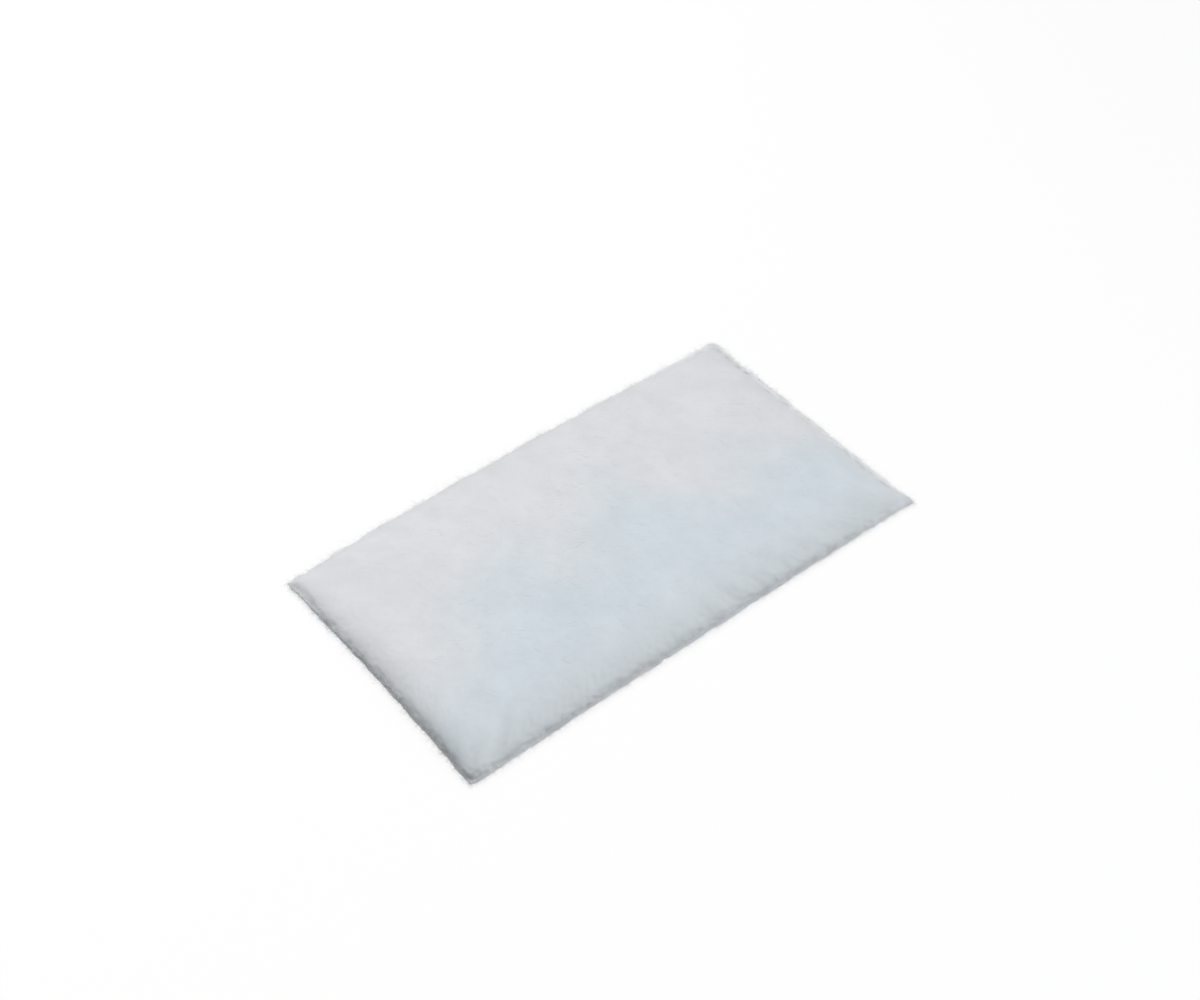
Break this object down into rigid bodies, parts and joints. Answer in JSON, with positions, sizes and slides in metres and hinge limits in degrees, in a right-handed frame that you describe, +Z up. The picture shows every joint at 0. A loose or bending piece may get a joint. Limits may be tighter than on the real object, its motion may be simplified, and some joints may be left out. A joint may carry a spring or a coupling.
{
  "type": "incubator air filter pad",
  "caption": "Flat rectangular pad of white non-woven filter fleece with a softly crowned, lofty body and a thin bonded edge.",
  "frame": {"origin": "middle of the flat underside that the pad rests on", "axes": "+X along the pad's length, +Y across its width, +Z up out of the pad's face"},
  "size_m": [0.1896, 0.1058, 0.0056],
  "materials": {
    "fleece": "matt lofty polyester fleece"
  },
  "bodies": {
    "root": {"filter_pad": "fleece"}
  },
  "joints": []
}
